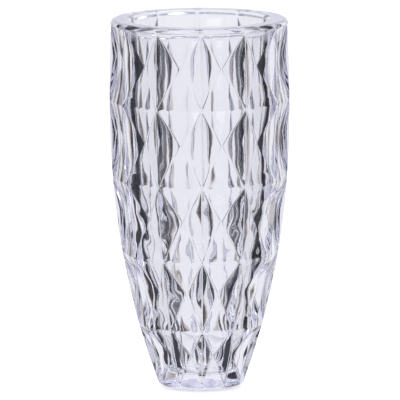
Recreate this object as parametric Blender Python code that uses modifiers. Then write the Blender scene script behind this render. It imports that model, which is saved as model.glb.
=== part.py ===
"""Cut crystal vase, a single body of clear crystal with a heavy foot.

Twelve ridges run up the outside and four lines ring it, which makes five tiers of cells.
Each cell is sunk to one point, so its facets slope down to that point and a row of
diamonds stands out along every ridge.  The rim, the foot and the cavity are turned round.
Metres, +Z up, with the origin at the centre of the foot.
"""

import math

import bmesh
import bpy
from mathutils import Vector

NAME = "cut_crystal_vase"

# Driving dimensions, in metres
HEIGHT = 0.305
RIM_RADIUS = 0.0728            # the round band above the cells
TOP_RIDGE_RADIUS = 0.0724      # the ridges just under it
BELLY_RADIUS = 0.0742          # where the ridges stand out furthest
BELLY_HEIGHT = 0.245
FOOT_RIDGE_RADIUS = 0.0339     # the ridge line carried on down to the table
TAPER_POWER = 2.3              # how the ridge line turns in below the belly
RIM_POWER = 1.2                # and above it
RIDGES = 12
TIER_LINES = (0.005, 0.0526, 0.112, 0.174, 0.238, 0.3002)
SINK_HEIGHT = 0.53             # where a cell is deepest, as a share of its tier's height
SINK_DEPTH = 0.0094            # how far that point lies inside the ridge line
RIM_ROUND = 0.0035
MOUTH_ROUND = 0.003
FOOT_ROUND = 0.011
FOOT_SLOPE = 21.0              # degrees that the sides lean out where they meet the foot
FLARE_HEIGHT = 0.002           # the cells run out into the round band over this height
MOUTH_RADIUS = 0.057
FLOOR_HEIGHT = 0.013
FLOOR_RADIUS = 0.026           # the cavity wall carried on down to the floor
FLOOR_ROUND = 0.009
CAVITY_POWER = 2.8             # how the cavity wall closes in towards the floor
TURNED_STEPS = 72
ARC_STEPS = 4
WALL_STEPS = 7
OVERRUN = 0.004                # how far a cutter runs past what it cuts
CRYSTAL_IOR = 1.54


def ridge_radius(z):
    """Radius of the ridges at a height."""
    if z < BELLY_HEIGHT:
        drop = (BELLY_HEIGHT - z) / BELLY_HEIGHT
        return BELLY_RADIUS - (BELLY_RADIUS - FOOT_RIDGE_RADIUS) * drop ** TAPER_POWER
    rise = (z - BELLY_HEIGHT) / (HEIGHT - BELLY_HEIGHT)
    return BELLY_RADIUS - (BELLY_RADIUS - TOP_RIDGE_RADIUS) * rise ** RIM_POWER


def cavity_radius(z):
    """Radius of the cavity wall, widest at the mouth so that the press could draw out."""
    depth = (HEIGHT - z) / (HEIGHT - FLOOR_HEIGHT)
    return MOUTH_RADIUS - (MOUTH_RADIUS - FLOOR_RADIUS) * depth ** CAVITY_POWER


def arc(centre_x, centre_z, radius, start, end):
    """Points of an arc in the XZ plane, with its angles in degrees from +X."""
    angles = [math.radians(start + (end - start) * i / ARC_STEPS) for i in range(ARC_STEPS + 1)]
    return [(centre_x + radius * math.cos(a), centre_z + radius * math.sin(a)) for a in angles]


def clear_scene():
    for existing in list(bpy.data.objects):
        bpy.data.objects.remove(existing, do_unlink=True)


def new_collection(name):
    collection = bpy.data.collections.new(name)
    bpy.context.scene.collection.children.link(collection)
    return collection


def crystal_material():
    material = bpy.data.materials.new("clear_crystal")
    material.use_nodes = True
    shader = material.node_tree.nodes["Principled BSDF"]
    shader.inputs["Base Color"].default_value = (0.93, 0.94, 0.97, 1.0)
    shader.inputs["Metallic"].default_value = 0.0
    shader.inputs["Roughness"].default_value = 0.02
    shader.inputs["IOR"].default_value = CRYSTAL_IOR
    shader.inputs["Transmission Weight"].default_value = 1.0
    return material


def turned_object(name, profile, collection):
    """Spin an XZ profile, listed from top to bottom down its outer side, round the axis."""
    mesh = bpy.data.meshes.new(name)
    edges = [(i, i + 1) for i in range(len(profile) - 1)]
    mesh.from_pydata([(x, 0.0, z) for x, z in profile], edges, [])
    turned = bpy.data.objects.new(name, mesh)
    collection.objects.link(turned)
    screw = turned.modifiers.new("Screw", "SCREW")
    screw.steps = TURNED_STEPS
    screw.render_steps = TURNED_STEPS
    screw.use_merge_vertices = True
    screw.merge_threshold = 0.00001
    return turned


def as_cutter(cutter):
    cutter.hide_render = True
    cutter.display_type = "WIRE"
    return cutter


def blank_profile():
    """The turned blank: rounded rim, rounded foot, and sides that clear the ridges."""
    rim = arc(RIM_RADIUS - RIM_ROUND, HEIGHT - RIM_ROUND, RIM_ROUND, 90, 0)
    side = [(ridge_radius(z) + OVERRUN, z) for z in reversed(TIER_LINES[1:-1])]
    meeting_height = FOOT_ROUND * (1.0 - math.sin(math.radians(FOOT_SLOPE)))
    foot_centre = ridge_radius(meeting_height) - FOOT_ROUND * math.cos(math.radians(FOOT_SLOPE))
    foot = arc(foot_centre, FOOT_ROUND, FOOT_ROUND, -FOOT_SLOPE, -90)
    return [(0.0, HEIGHT)] + rim + side + foot + [(0.0, 0.0)]


def cavity_profile():
    """The cavity: flared over the rounded mouth, then down the wall to the rounded floor."""
    flare = arc(MOUTH_RADIUS + MOUTH_ROUND, HEIGHT - MOUTH_ROUND, MOUTH_ROUND, 90, 180)
    above = [(0.0, HEIGHT + OVERRUN), (MOUTH_RADIUS + MOUTH_ROUND, HEIGHT + OVERRUN)]
    top = HEIGHT - MOUTH_ROUND
    bottom = FLOOR_HEIGHT + FLOOR_ROUND
    heights = [top + (bottom - top) * i / WALL_STEPS for i in range(1, WALL_STEPS)]
    wall = [(cavity_radius(z), z) for z in heights]
    floor = arc(cavity_radius(bottom) - FLOOR_ROUND, bottom, FLOOR_ROUND, 0, -90)
    return above + flare + wall + floor + [(0.0, FLOOR_HEIGHT)]


def raise_ring(bm, ring, z, radius):
    """Extrude a ring of edges up to a new height and radius; return it and the new faces."""
    extruded = bmesh.ops.extrude_edge_only(bm, edges=ring)["geom"]
    for item in extruded:
        if isinstance(item, bmesh.types.BMVert):
            across = item.co.xy.normalized() * radius
            item.co = Vector((across.x, across.y, z))
    edges = [item for item in extruded if isinstance(item, bmesh.types.BMEdge)]
    faces = [item for item in extruded if isinstance(item, bmesh.types.BMFace)]
    return edges, faces


def bow_ridges(bm, sides):
    """Give each ridge of a tier a middle point on the curved ridge line."""
    upright = {edge for face in sides for edge in face.edges
               if abs(edge.verts[0].co.z - edge.verts[1].co.z) > OVERRUN}
    for edge in upright:
        middle = bmesh.utils.edge_split(edge, edge.verts[0], 0.5)[1]
        middle.co.xy = middle.co.xy.normalized() * ridge_radius(middle.co.z)


def sink_cells(bm, sides, lower, upper):
    """Poke the cells of a tier, and push each new point in towards the axis."""
    for point in bmesh.ops.poke(bm, faces=sides)["verts"]:
        z = lower + SINK_HEIGHT * (upper - lower)
        across = point.co.xy.normalized() * (ridge_radius(z) - SINK_DEPTH)
        point.co = Vector((across.x, across.y, z))


def cut_outside():
    """The twelve-sided outside with its tiers of sunk cells, longer than the vase."""
    bm = bmesh.new()
    foot_radius = ridge_radius(TIER_LINES[0])
    bmesh.ops.create_circle(bm, cap_ends=True, segments=RIDGES, radius=foot_radius)
    bmesh.ops.translate(bm, verts=bm.verts, vec=(0.0, 0.0, -OVERRUN))
    ring, _ = raise_ring(bm, list(bm.edges), TIER_LINES[0], foot_radius)
    for lower, upper in zip(TIER_LINES, TIER_LINES[1:]):
        ring, cells = raise_ring(bm, ring, upper, ridge_radius(upper))
        bow_ridges(bm, cells)
        sink_cells(bm, cells, lower, upper)
    round_radius = RIM_RADIUS / math.cos(math.pi / RIDGES) + RIM_ROUND
    ring, _ = raise_ring(bm, ring, TIER_LINES[-1] + FLARE_HEIGHT, round_radius)
    ring, _ = raise_ring(bm, ring, HEIGHT + OVERRUN, round_radius)
    bmesh.ops.contextual_create(bm, geom=ring)
    bmesh.ops.recalc_face_normals(bm, faces=bm.faces)
    mesh = bpy.data.meshes.new("vase_body")
    bm.to_mesh(mesh)
    bm.free()
    return mesh


def add_boolean(target, cutter, operation):
    boolean = target.modifiers.new(cutter.name, "BOOLEAN")
    boolean.operation = operation
    boolean.object = cutter


def main():
    clear_scene()
    parts = new_collection(NAME)
    cutters = new_collection(NAME + "_cutters")
    body = bpy.data.objects.new("vase_body", cut_outside())
    parts.objects.link(body)
    body.data.materials.append(crystal_material())
    blank = as_cutter(turned_object("blank", blank_profile(), cutters))
    cavity = as_cutter(turned_object("cavity", cavity_profile(), cutters))
    add_boolean(body, blank, "INTERSECT")
    add_boolean(body, cavity, "DIFFERENCE")


main()
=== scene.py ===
import math

import bmesh
import bpy
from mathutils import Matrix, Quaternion, Vector, noise


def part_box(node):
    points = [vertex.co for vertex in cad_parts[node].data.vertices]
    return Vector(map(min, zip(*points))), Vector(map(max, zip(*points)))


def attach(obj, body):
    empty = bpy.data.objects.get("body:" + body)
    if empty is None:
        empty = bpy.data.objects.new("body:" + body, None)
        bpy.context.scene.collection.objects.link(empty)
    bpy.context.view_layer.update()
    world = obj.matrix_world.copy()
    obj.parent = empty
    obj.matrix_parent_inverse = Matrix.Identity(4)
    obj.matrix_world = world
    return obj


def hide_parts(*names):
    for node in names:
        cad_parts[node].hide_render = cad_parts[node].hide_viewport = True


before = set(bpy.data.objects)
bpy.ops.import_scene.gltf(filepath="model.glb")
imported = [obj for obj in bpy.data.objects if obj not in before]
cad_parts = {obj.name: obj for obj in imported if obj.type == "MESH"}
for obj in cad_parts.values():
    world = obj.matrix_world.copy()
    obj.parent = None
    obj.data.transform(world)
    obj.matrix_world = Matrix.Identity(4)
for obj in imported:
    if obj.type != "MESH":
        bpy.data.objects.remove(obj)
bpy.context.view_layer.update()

NODE = "vase_body"
low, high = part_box(NODE)

# The vase's sizes in metres, as in the CAD.  Its height and belly come from the frame.
HEIGHT = high[2] - low[2]
BELLY_RADIUS = (high[0] - low[0]) / 2.0
BELLY_HEIGHT = 0.245
RIM_RADIUS = 0.0728
TOP_RIDGE_RADIUS = 0.0724
FOOT_RIDGE_RADIUS = 0.0339
TAPER_POWER = 2.3
RIM_POWER = 1.2
RIDGES = 12
TIER_LINES = (0.005, 0.0526, 0.112, 0.174, 0.238, 0.3002)
SINK_HEIGHT = 0.53
SINK_DEPTH = 0.0094
RIM_ROUND = 0.0035
MOUTH_ROUND = 0.003
FOOT_ROUND = 0.011
FOOT_SLOPE = 21.0
FLARE_HEIGHT = 0.002
MOUTH_RADIUS = 0.057
FLOOR_HEIGHT = 0.013
FLOOR_RADIUS = 0.026
FLOOR_ROUND = 0.009
CAVITY_POWER = 2.8
OVERRUN = 0.004

# What the real glass adds to the CAD: facets a little hollow, edges softened by the fire
# polish, and an inner wall that sank unevenly as it cooled.
SIDE_HOLLOW = 0.0004           # the facets either side of a ridge, at their middle
FLAT_HOLLOW = 0.0003           # the facets above and below a sunk point
HOLLOW_TAPER = 2.0             # how fast the hollows get shallower as the vase narrows
HOLLOW_CENTRE = 0.001          # keeps the sunk point itself from dividing by nothing
EDGE_WIDTH = 0.0009
EDGE_SEGMENTS = 3
EDGE_ANGLE = 6.0               # degrees; flatter edges are not softened
WALL_BACK = 0.0003             # the inner wall as a whole
RIDGE_SINK = 0.0001            # more behind each ridge
TIER_SINK = 0.0005             # more behind each tier line
WALL_WAVE = 0.0004             # its unevenness
LOW_WAVE = 0.0014              # more of that lower down, where the glass cooled last
LOW_WAVE_TOP = 0.20
LOW_WAVE_FADE = 0.05
WAVE_WIDTH = 0.020
WAVE_HEIGHT = 0.010
RIPPLE_SHARE = 0.35            # smaller ripples on the waves
RIPPLE_SIZE = 0.009
CALM_RIM = 0.006               # the wall is even down to here below the rim
CALM_FADE = 0.010

# How finely the glass is meshed.
TURNED_STEPS = 288
ARC_STEPS = 8
WALL_STEPS = 60
RIDGE_STEPS = 5
FACET_CUTS = 3
MERGE_DISTANCE = 0.000001


def ridge_radius(z):
    """Radius of the ridges at a height."""
    if z < BELLY_HEIGHT:
        drop = (BELLY_HEIGHT - z) / BELLY_HEIGHT
        return BELLY_RADIUS - (BELLY_RADIUS - FOOT_RIDGE_RADIUS) * drop ** TAPER_POWER
    rise = (z - BELLY_HEIGHT) / (HEIGHT - BELLY_HEIGHT)
    return BELLY_RADIUS - (BELLY_RADIUS - TOP_RIDGE_RADIUS) * rise ** RIM_POWER


def cavity_radius(z):
    """Radius of the cavity wall at a height."""
    depth = (HEIGHT - z) / (HEIGHT - FLOOR_HEIGHT)
    return MOUTH_RADIUS - (MOUTH_RADIUS - FLOOR_RADIUS) * depth ** CAVITY_POWER


def find_tier(z):
    """The tier line below a height and the one above it, or None outside the cells."""
    for lower, upper in zip(TIER_LINES, TIER_LINES[1:]):
        if lower < z < upper:
            return lower, upper
    return None


def arc(centre_x, centre_z, radius, start, end):
    """Points of an arc in the XZ plane, with its angles in degrees from +X."""
    angles = [math.radians(start + (end - start) * i / ARC_STEPS) for i in range(ARC_STEPS + 1)]
    return [(centre_x + radius * math.cos(a), centre_z + radius * math.sin(a)) for a in angles]


def blank_profile():
    """The turned blank: rounded rim, rounded foot, and sides that clear the ridges."""
    rim = arc(RIM_RADIUS - RIM_ROUND, HEIGHT - RIM_ROUND, RIM_ROUND, 90, 0)
    side = [(ridge_radius(z) + OVERRUN, z) for z in reversed(TIER_LINES[1:-1])]
    meeting_height = FOOT_ROUND * (1.0 - math.sin(math.radians(FOOT_SLOPE)))
    foot_centre = ridge_radius(meeting_height) - FOOT_ROUND * math.cos(math.radians(FOOT_SLOPE))
    foot = arc(foot_centre, FOOT_ROUND, FOOT_ROUND, -FOOT_SLOPE, -90)
    return [(0.0, HEIGHT)] + rim + side + foot + [(0.0, 0.0)]


def cavity_profile():
    """The cavity: flared over the rounded mouth, then down the wall to the rounded floor."""
    flare = arc(MOUTH_RADIUS + MOUTH_ROUND, HEIGHT - MOUTH_ROUND, MOUTH_ROUND, 90, 180)
    above = [(0.0, HEIGHT + OVERRUN), (MOUTH_RADIUS + MOUTH_ROUND, HEIGHT + OVERRUN)]
    top = HEIGHT - MOUTH_ROUND
    bottom = FLOOR_HEIGHT + FLOOR_ROUND
    heights = [top + (bottom - top) * i / WALL_STEPS for i in range(1, WALL_STEPS)]
    wall = [(cavity_radius(z), z) for z in heights]
    floor = arc(cavity_radius(bottom) - FLOOR_ROUND, bottom, FLOOR_ROUND, 0, -90)
    return above + flare + wall + floor + [(0.0, FLOOR_HEIGHT)]


def turned_mesh(name, profile):
    """Spin an XZ profile round the vase's axis."""
    bm = bmesh.new()
    points = [bm.verts.new((x, 0.0, z)) for x, z in profile]
    edges = [bm.edges.new(pair) for pair in zip(points, points[1:])]
    bmesh.ops.spin(bm, geom=points + edges, cent=(0, 0, 0), axis=(0, 0, 1), angle=2.0 * math.pi,
                   steps=TURNED_STEPS, use_merge=True, use_duplicate=False)
    bmesh.ops.remove_doubles(bm, verts=bm.verts, dist=MERGE_DISTANCE)
    bmesh.ops.recalc_face_normals(bm, faces=bm.faces)
    mesh = bpy.data.meshes.new(name)
    bm.to_mesh(mesh)
    bm.free()
    mesh.shade_smooth()
    return mesh


def wall_swell(point):
    """How far the inner wall stands back at a point, behind the thick ridges and tier lines."""
    tier = find_tier(point.z)
    swell = WALL_BACK + RIDGE_SINK * math.cos(RIDGES * math.atan2(point.y, point.x))
    if tier:
        swell += TIER_SINK * math.cos(2.0 * math.pi * (point.z - tier[0]) / (tier[1] - tier[0]))
    else:
        swell += TIER_SINK
    low_down = min(1.0, max(0.0, (LOW_WAVE_TOP - point.z) / LOW_WAVE_FADE))
    wave = noise.noise(Vector((point.x / WAVE_WIDTH, point.y / WAVE_WIDTH, point.z / WAVE_HEIGHT)))
    wave += RIPPLE_SHARE * noise.noise(point / RIPPLE_SIZE)
    swell += (WALL_WAVE + LOW_WAVE * low_down) * wave
    return swell * min(1.0, (HEIGHT - CALM_RIM - point.z) / CALM_FADE)


def ripple_wall(mesh):
    """Push the cavity's wall out by its swell, leaving the rim and the middle of the floor."""
    for vertex in mesh.vertices:
        radius = vertex.co.xy.length
        if radius > FLOOR_ROUND and vertex.co.z < HEIGHT - CALM_RIM:
            vertex.co.xy = vertex.co.xy * (1.0 + wall_swell(vertex.co) / radius)


def raise_ring(bm, ring, z, radius):
    """Extrude a ring of edges up to a new height and radius; return it and the new faces."""
    extruded = bmesh.ops.extrude_edge_only(bm, edges=ring)["geom"]
    for item in extruded:
        if isinstance(item, bmesh.types.BMVert):
            across = item.co.xy.normalized() * radius
            item.co = Vector((across.x, across.y, z))
    edges = [item for item in extruded if isinstance(item, bmesh.types.BMEdge)]
    faces = [item for item in extruded if isinstance(item, bmesh.types.BMFace)]
    return edges, faces


def bow_ridges(bm, sides):
    """Divide each ridge of a tier, and put the new points on the curved ridge line."""
    upright = {edge for face in sides for edge in face.edges
               if abs(edge.verts[0].co.z - edge.verts[1].co.z) > OVERRUN}
    for edge in upright:
        lower = min(edge.verts, key=lambda vertex: vertex.co.z)
        for parts in range(RIDGE_STEPS, 1, -1):
            split, point = bmesh.utils.edge_split(edge, lower, 1.0 / parts)
            point.co.xy = point.co.xy.normalized() * ridge_radius(point.co.z)
            edge = edge if lower in split.verts else split
            lower = point


def sink_cells(bm, sides, lower, upper):
    """Poke the cells of a tier and push each new point in; return the facets this makes."""
    poked = bmesh.ops.poke(bm, faces=sides)
    z = lower + SINK_HEIGHT * (upper - lower)
    for point in poked["verts"]:
        across = point.co.xy.normalized() * (ridge_radius(z) - SINK_DEPTH)
        point.co = Vector((across.x, across.y, z))
    return poked["faces"]


def facet_hollow(point, lower, upper):
    """How far a facet lies inside its flat plane: none on its edges, most at its middle."""
    sink = lower + SINK_HEIGHT * (upper - lower)
    across = abs(math.atan2(point.y, point.x) * RIDGES / math.pi % 2.0 - 1.0)
    up = (point.z - sink) / (upper - sink) if point.z > sink else (sink - point.z) / (sink - lower)
    reach = max(across, up, HOLLOW_CENTRE)
    most = SIDE_HOLLOW if across > up else FLAT_HOLLOW
    most *= (ridge_radius(point.z) / BELLY_RADIUS) ** HOLLOW_TAPER
    return most * 4.0 * reach * (1.0 - reach) * (1.0 - (min(across, up) / reach) ** 2)


def hollow_facets(bm, facets):
    """Divide the facets, and sink the new points a little towards the axis."""
    edges = list({edge for face in facets for edge in face.edges})
    bmesh.ops.subdivide_edges(bm, edges=edges, cuts=FACET_CUTS, use_grid_fill=True)
    for vertex in bm.verts:
        tier = find_tier(vertex.co.z)
        if tier:
            hollow = facet_hollow(vertex.co, *tier)
            vertex.co.xy = vertex.co.xy * (1.0 - hollow / vertex.co.xy.length)


def cut_outside():
    """The twelve-sided outside with its tiers of sunk cells, longer than the vase."""
    bm = bmesh.new()
    foot_radius = ridge_radius(TIER_LINES[0])
    bmesh.ops.create_circle(bm, cap_ends=True, segments=RIDGES, radius=foot_radius)
    bmesh.ops.translate(bm, verts=bm.verts, vec=(0.0, 0.0, -OVERRUN))
    ring, _ = raise_ring(bm, list(bm.edges), TIER_LINES[0], foot_radius)
    facets = []
    for lower, upper in zip(TIER_LINES, TIER_LINES[1:]):
        ring, cells = raise_ring(bm, ring, upper, ridge_radius(upper))
        bow_ridges(bm, cells)
        facets += sink_cells(bm, cells, lower, upper)
    round_radius = RIM_RADIUS / math.cos(math.pi / RIDGES) + RIM_ROUND
    ring, _ = raise_ring(bm, ring, TIER_LINES[-1] + FLARE_HEIGHT, round_radius)
    ring, _ = raise_ring(bm, ring, HEIGHT + OVERRUN, round_radius)
    bmesh.ops.contextual_create(bm, geom=ring)
    hollow_facets(bm, facets)
    bmesh.ops.recalc_face_normals(bm, faces=bm.faces)
    mesh = bpy.data.meshes.new("cut_crystal_vase")
    bm.to_mesh(mesh)
    bm.free()
    mesh.shade_smooth()
    return mesh


def new_object(name, mesh):
    made = bpy.data.objects.new(name, mesh)
    bpy.context.scene.collection.objects.link(made)
    return made


def build_vase():
    """The vase as one mesh: the cut outside, softened, rounded by the blank and hollowed."""
    vase = new_object("cut_crystal_vase", cut_outside())
    blank = new_object("blank", turned_mesh("blank", blank_profile()))
    cavity = new_object("cavity", turned_mesh("cavity", cavity_profile()))
    ripple_wall(cavity.data)
    polish = vase.modifiers.new("polish", "BEVEL")
    polish.width = EDGE_WIDTH
    polish.segments = EDGE_SEGMENTS
    polish.limit_method = "ANGLE"
    polish.angle_limit = math.radians(EDGE_ANGLE)
    for cutter, operation in ((blank, "INTERSECT"), (cavity, "DIFFERENCE")):
        boolean = vase.modifiers.new(cutter.name, "BOOLEAN")
        boolean.operation = operation
        boolean.object = cutter
    weighted = vase.modifiers.new("flat_facets", "WEIGHTED_NORMAL")
    weighted.keep_sharp = True
    bpy.context.view_layer.update()
    seen = vase.evaluated_get(bpy.context.evaluated_depsgraph_get())
    finished = bpy.data.meshes.new_from_object(seen)
    vase.modifiers.clear()
    vase.data = finished
    for cutter in (blank, cavity):
        bpy.data.objects.remove(cutter, do_unlink=True)
    return vase


# ---------------------------------------------------------------- materials

CRYSTAL_IOR = 1.52
CLEAR_TINT = (0.985, 0.985, 0.992, 1.0)
DEEP_TINT = (0.965, 0.967, 0.985, 1.0)
ABSORB_COLOUR = (0.80, 0.81, 1.0, 1.0)
ABSORB_DENSITY = 2.5
SMEAR_SCALE = 14.0             # clouds of tint and of less perfect polish
SMEAR_DETAIL = 3.0
SMEAR_RANGE = (0.45, 0.75)
SMEAR_ROUGHNESS = 0.012
SKIN_SCALE = 55.0              # the faint waves of a fire-polished surface
SKIN_DETAIL = 2.0
SKIN_DEPTH = 0.00012
SKIN_STRENGTH = 0.12
FLOOR_COLOUR = (0.92, 0.92, 0.93, 1.0)
FLOOR_ROUGHNESS = 0.6
FLOOR_GLOW = 0.60


def crystal_material():
    """Clear crystal with a faint lilac depth, a barely wavy skin and polish that varies."""
    material = bpy.data.materials.new("clear_crystal")
    material.use_nodes = True
    nodes = material.node_tree.nodes
    link = material.node_tree.links.new
    shader = nodes["Principled BSDF"]
    shader.inputs["IOR"].default_value = CRYSTAL_IOR
    shader.inputs["Transmission Weight"].default_value = 1.0
    place = nodes.new("ShaderNodeTexCoord").outputs["Object"]

    cloud = nodes.new("ShaderNodeTexNoise")
    cloud.inputs["Scale"].default_value = SMEAR_SCALE
    cloud.inputs["Detail"].default_value = SMEAR_DETAIL
    link(place, cloud.inputs["Vector"])
    tint = nodes.new("ShaderNodeMix")
    tint.data_type = "RGBA"
    tint.inputs["A"].default_value = CLEAR_TINT
    tint.inputs["B"].default_value = DEEP_TINT
    link(cloud.outputs["Fac"], tint.inputs["Factor"])
    link(tint.outputs["Result"], shader.inputs["Base Color"])
    polish = nodes.new("ShaderNodeMapRange")
    polish.inputs["From Min"].default_value, polish.inputs["From Max"].default_value = SMEAR_RANGE
    polish.inputs["To Min"].default_value = 0.0
    polish.inputs["To Max"].default_value = SMEAR_ROUGHNESS
    link(cloud.outputs["Fac"], polish.inputs["Value"])
    link(polish.outputs["Result"], shader.inputs["Roughness"])

    skin = nodes.new("ShaderNodeTexNoise")
    skin.inputs["Scale"].default_value = SKIN_SCALE
    skin.inputs["Detail"].default_value = SKIN_DETAIL
    link(place, skin.inputs["Vector"])
    bump = nodes.new("ShaderNodeBump")
    bump.inputs["Strength"].default_value = SKIN_STRENGTH
    bump.inputs["Distance"].default_value = SKIN_DEPTH
    link(skin.outputs["Fac"], bump.inputs["Height"])
    link(bump.outputs["Normal"], shader.inputs["Normal"])

    depth = nodes.new("ShaderNodeVolumeAbsorption")
    depth.inputs["Color"].default_value = ABSORB_COLOUR
    depth.inputs["Density"].default_value = ABSORB_DENSITY
    link(depth.outputs["Volume"], nodes["Material Output"].inputs["Volume"])
    return material


def floor_material():
    """White table, bright enough to keep the shadow under the vase faint."""
    material = bpy.data.materials.new("white_floor")
    material.use_nodes = True
    shader = material.node_tree.nodes["Principled BSDF"]
    shader.inputs["Base Color"].default_value = FLOOR_COLOUR
    shader.inputs["Roughness"].default_value = FLOOR_ROUGHNESS
    shader.inputs["Emission Color"].default_value = (1.0, 1.0, 1.0, 1.0)
    shader.inputs["Emission Strength"].default_value = FLOOR_GLOW
    return material


# ---------------------------------------------------------------- studio

FLOOR_SIZE = 8.0
FLOOR_DROP = 0.0002            # just under the foot, so that the two don't share a plane

# Where the light round the vase changes, in degrees from straight behind the vase, or in
# degrees above and below the level.
LIGHT_TURN = 6.0
BACK_FADE = (26.0, 44.0)
FRONT_FADE = (92.0, 108.0)
HIGH_FADE = (8.0, 24.0)
LOW_FADE = (36.0, 60.0)
BACK_LIGHT = (0.90, 0.90, 0.95)
DARK_LIGHT = (0.008, 0.008, 0.016)
FRONT_LIGHT = (0.62, 0.62, 0.70)
HIGH_LIGHT = (0.62, 0.62, 0.70)
COLOUR_SPREAD = (0.6, 0.0, -0.6)

SOFTBOX_SIZE = 0.9
SOFTBOX_POWER = 5.0
SOFTBOXES = {"key_softbox": (-0.9, -1.1, 1.7), "top_softbox": (0.7, 0.5, 1.9)}


class WorldNodes:
    """Short ways to add the nodes of the studio's light."""

    def __init__(self, tree):
        self.tree = tree

    def add(self, kind, *values, **settings):
        """Add a node, fill its inputs in order with values or links, and return its output."""
        node = self.tree.nodes.new(kind)
        for name, value in settings.items():
            setattr(node, name, value)
        for socket, value in zip(node.inputs, values):
            if isinstance(value, bpy.types.NodeSocket):
                self.tree.links.new(value, socket)
            else:
                socket.default_value = value
        return node.outputs[0]

    def maths(self, operation, *values):
        """Add a Math node."""
        return self.add("ShaderNodeMath", *values, operation=operation)

    def fade(self, value, span, start, end):
        """Go smoothly from start to end while value crosses the span, in degrees."""
        low_side, high_side = (math.radians(degrees) for degrees in span)
        return self.add("ShaderNodeMapRange", value, low_side, high_side, start, end,
                        interpolation_type="SMOOTHSTEP")

    def mix(self, share, first, second):
        """Go from first to second as share goes from 0 to 1."""
        rest = self.maths("SUBTRACT", 1.0, share)
        return self.maths("ADD", self.maths("MULTIPLY", first, rest),
                          self.maths("MULTIPLY", second, share))


def channel_light(nodes, azimuth, elevation, channel):
    """One colour of the light round the vase: bright behind, dark at the sides.

    The three colours turn from light to dark a little apart, as crystal spreads them.
    """
    spread = COLOUR_SPREAD[channel]
    back_span = [edge + spread for edge in BACK_FADE]
    front_span = [edge + spread for edge in FRONT_FADE]
    dark = DARK_LIGHT[channel]
    back = nodes.fade(azimuth, back_span, BACK_LIGHT[channel], dark)
    front = nodes.fade(azimuth, front_span, 0.0, FRONT_LIGHT[channel] - dark)
    around = nodes.maths("ADD", back, front)
    above = nodes.fade(elevation, HIGH_FADE, 0.0, 1.0)
    below = nodes.fade(nodes.maths("MULTIPLY", elevation, -1.0), LOW_FADE, 0.0, 1.0)
    return nodes.mix(nodes.maths("MAXIMUM", above, below), around, HIGH_LIGHT[channel])


def light_world():
    """Light the vase from all round, in front of a backdrop that looks plain white."""
    world = bpy.data.worlds.new("studio")
    bpy.context.scene.world = world
    world.use_nodes = True
    tree = world.node_tree
    tree.nodes.clear()
    nodes = WorldNodes(tree)
    direction = tree.nodes.new("ShaderNodeTexCoord").outputs["Generated"]
    split = tree.nodes.new("ShaderNodeSeparateXYZ")
    tree.links.new(direction, split.inputs[0])
    x, y, z = split.outputs
    turned = nodes.maths("SUBTRACT", nodes.maths("ARCTAN2", x, y), math.radians(LIGHT_TURN))
    azimuth = nodes.maths("ABSOLUTE", turned)
    elevation = nodes.maths("ARCSINE", z)
    channels = [channel_light(nodes, azimuth, elevation, channel) for channel in range(3)]
    colour = nodes.add("ShaderNodeCombineColor", *channels)
    around = nodes.add("ShaderNodeBackground", colour, 1.0)
    backdrop = nodes.add("ShaderNodeBackground", (1.0, 1.0, 1.0, 1.0), 1.0)
    seen_directly = tree.nodes.new("ShaderNodeLightPath").outputs["Is Camera Ray"]
    mixed = nodes.add("ShaderNodeMixShader", seen_directly, around, backdrop)
    output = tree.nodes.new("ShaderNodeOutputWorld")
    tree.links.new(mixed, output.inputs["Surface"])


def add_softbox(name, place):
    """Add a square softbox that faces the middle of the vase."""
    light = bpy.data.lights.new(name, "AREA")
    light.shape = "SQUARE"
    light.size = SOFTBOX_SIZE
    light.energy = SOFTBOX_POWER
    box = new_object(name, light)
    box.location = place
    aim = Vector((0.0, 0.0, HEIGHT / 2.0)) - box.location
    box.rotation_mode = "QUATERNION"
    box.rotation_quaternion = aim.to_track_quat("-Z", "Y")


def add_floor():
    """A plain pale floor that the glass itself neither shows nor mirrors."""
    bm = bmesh.new()
    bmesh.ops.create_grid(bm, x_segments=1, y_segments=1, size=FLOOR_SIZE / 2.0)
    mesh = bpy.data.meshes.new("floor")
    bm.to_mesh(mesh)
    bm.free()
    floor = new_object("floor", mesh)
    floor.location = (0.0, 0.0, low[2] - FLOOR_DROP)
    mesh.materials.append(floor_material())
    floor.visible_transmission = False
    floor.visible_glossy = False


# ---------------------------------------------------------------- camera

CAMERA_DISTANCE = 9.0
CAMERA_ELEVATION = 8.3
CAMERA_TURN = -1.2
CAMERA_ROLL = -0.33
VIEW_WIDTH = 0.3284
VIEW_CENTRE = (-0.0001, 0.0, 0.1545)
SENSOR_WIDTH = 36.0


def add_camera():
    """A long lens far away, a little above the vase and turned very slightly."""
    data = bpy.data.cameras.new("camera")
    data.sensor_width = SENSOR_WIDTH
    data.lens = SENSOR_WIDTH * CAMERA_DISTANCE / VIEW_WIDTH
    camera = new_object("camera", data)
    elevation = math.radians(CAMERA_ELEVATION)
    turn = math.radians(CAMERA_TURN)
    away = Vector((math.sin(turn) * math.cos(elevation), -math.cos(turn) * math.cos(elevation),
                   math.sin(elevation)))
    camera.location = Vector(VIEW_CENTRE) + away * CAMERA_DISTANCE
    camera.rotation_mode = "QUATERNION"
    level = (-away).to_track_quat("-Z", "Y")
    camera.rotation_quaternion = level @ Quaternion((0.0, 0.0, 1.0), math.radians(CAMERA_ROLL))
    bpy.context.scene.camera = camera


GLASS_BOUNCES = 32

vase = build_vase()
vase.data.materials.clear()
vase.data.materials.append(crystal_material())
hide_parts(NODE)
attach(vase, "root")

add_floor()
light_world()
for softbox, place in SOFTBOXES.items():
    add_softbox(softbox, place)
add_camera()

scene = bpy.context.scene
scene.view_settings.view_transform = "Standard"
scene.cycles.max_bounces = GLASS_BOUNCES
scene.cycles.transmission_bounces = GLASS_BOUNCES
scene.cycles.glossy_bounces = GLASS_BOUNCES
